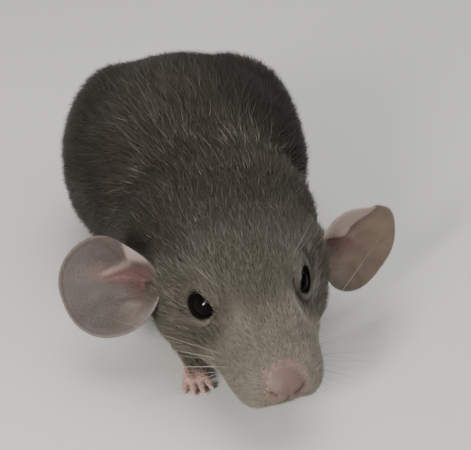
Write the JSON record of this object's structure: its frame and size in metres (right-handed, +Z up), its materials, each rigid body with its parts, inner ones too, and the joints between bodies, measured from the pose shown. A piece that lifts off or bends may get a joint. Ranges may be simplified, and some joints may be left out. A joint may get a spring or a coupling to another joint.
{
  "type": "dumbo rat",
  "caption": "Young grey dumbo rat at life size, crouched on the floor with its head low and its large round ears held out to the sides; a still model.",
  "frame": {"origin": "on the floor, under the middle of the animal's outer box", "axes": "+Z up, -Y the way the animal faces, +X to the animal's left; Y is the longest extent, nose to tail tip"},
  "size_m": [0.066, 0.1558, 0.0442],
  "materials": {
    "fur": "short dense fur, dark brown-grey with light tips",
    "pale_fur": "very short pale grey fur",
    "bare_skin": "bare pink skin, satin",
    "ear_skin": "thin pinkish grey skin, satin",
    "eye": "wet gloss black"
  },
  "bodies": {
    "root": {"torso": "fur", "neck": "fur", "head": "fur", "muzzle": "pale_fur", "lower_jaw": "pale_fur", "nose": "bare_skin", "ear_left": "ear_skin", "ear_right": "ear_skin", "eyelids_left": "fur", "eyelids_right": "fur", "eye_left": "eye", "eye_right": "eye", "upper_arm_left": "fur", "upper_arm_right": "fur", "forearm_left": "fur", "forearm_right": "fur", "forepaw_left": "bare_skin", "forepaw_right": "bare_skin", "thigh_left": "fur", "thigh_right": "fur", "hind_foot_left": "bare_skin", "hind_foot_right": "bare_skin", "tail_1": "bare_skin", "tail_2": "bare_skin", "tail_3": "bare_skin", "tail_4": "bare_skin"}
  },
  "joints": []
}
